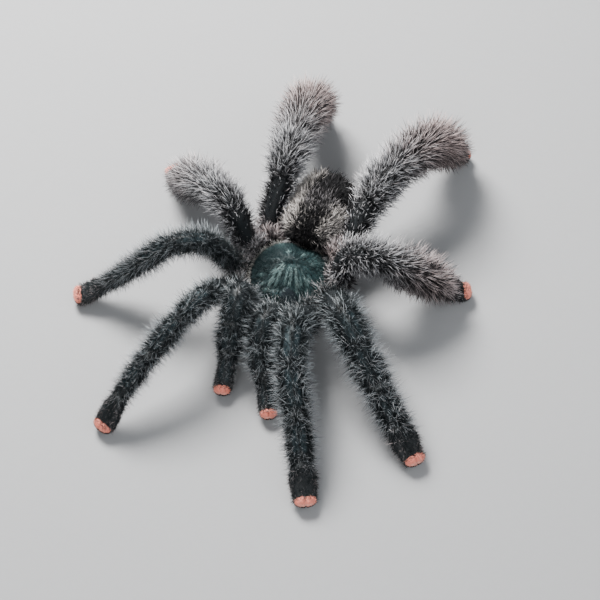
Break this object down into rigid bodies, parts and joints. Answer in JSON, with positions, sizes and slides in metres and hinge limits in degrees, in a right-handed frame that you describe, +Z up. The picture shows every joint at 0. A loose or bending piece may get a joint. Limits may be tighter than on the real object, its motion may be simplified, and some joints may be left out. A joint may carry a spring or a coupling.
{
  "type": "mounted tarantula specimen",
  "caption": "Dried pink-toed tarantula spread and standing on its toe pads, with a domed dark teal carapace, an oval hairy abdomen and bushy grey legs.",
  "frame": {"origin": "middle of the bounding box's underside, on the surface that the specimen stands on", "axes": "+Z up, -Y the way the spider heads, +X to its left side"},
  "size_m": [0.0822, 0.0972, 0.0217],
  "materials": {
    "carapace": "satin dark teal with silvery hair streaks",
    "leg_hair": "near-black velvet under long pale grey hairs",
    "abdomen_hair": "black-brown velvet with cream hairs on both sides",
    "jaw_hair": "short red-brown and grey hair",
    "body_plate": "dark brown short-haired skin",
    "fang": "glossy black",
    "toe_pad": "matte salmon-pink pad",
    "eye": "glossy black bead"
  },
  "bodies": {
    "root": {"carapace": "carapace", "sternum": "body_plate", "palp_right": "leg_hair", "palp_left": "leg_hair", "chelicera_right": "jaw_hair", "chelicera_left": "jaw_hair", "abdomen": "abdomen_hair", "leg_1_right": "leg_hair", "leg_1_left": "leg_hair", "leg_2_right": "leg_hair", "leg_2_left": "leg_hair", "leg_3_right": "leg_hair", "leg_3_left": "leg_hair", "leg_4_right": "leg_hair", "leg_4_left": "leg_hair", "fang_right": "fang", "fang_left": "fang", "spinneret_right": "body_plate", "spinneret_left": "body_plate"}
  },
  "joints": []
}
